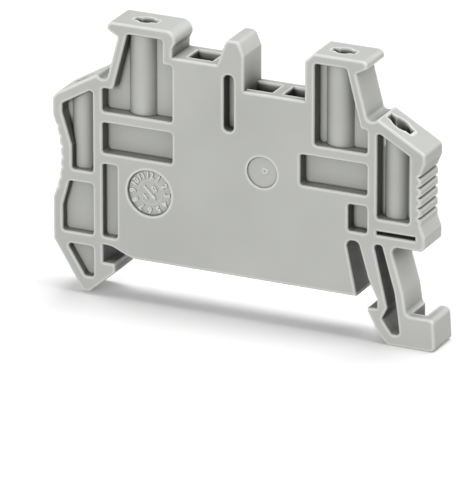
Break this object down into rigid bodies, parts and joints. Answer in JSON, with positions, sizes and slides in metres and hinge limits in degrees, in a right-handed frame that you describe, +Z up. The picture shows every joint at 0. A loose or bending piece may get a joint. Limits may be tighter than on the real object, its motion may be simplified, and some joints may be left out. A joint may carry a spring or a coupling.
{
  "type": "din rail end stop",
  "caption": "Slim moulded plastic stop that clips onto a mounting rail and holds the row of parts beside it in place.",
  "frame": {"origin": "on the rail's centre line, level with the top of its flanges, halfway through the stop's width", "axes": "X across the rail from the hook to the latch, Y along the rail away from the dial side, Z up off the rail"},
  "size_m": [0.0494, 0.0052, 0.0347],
  "materials": {
    "grey_polyamide": "fine matte moulded grain"
  },
  "bodies": {
    "root": {"end_stop": "grey_polyamide"}
  },
  "joints": []
}
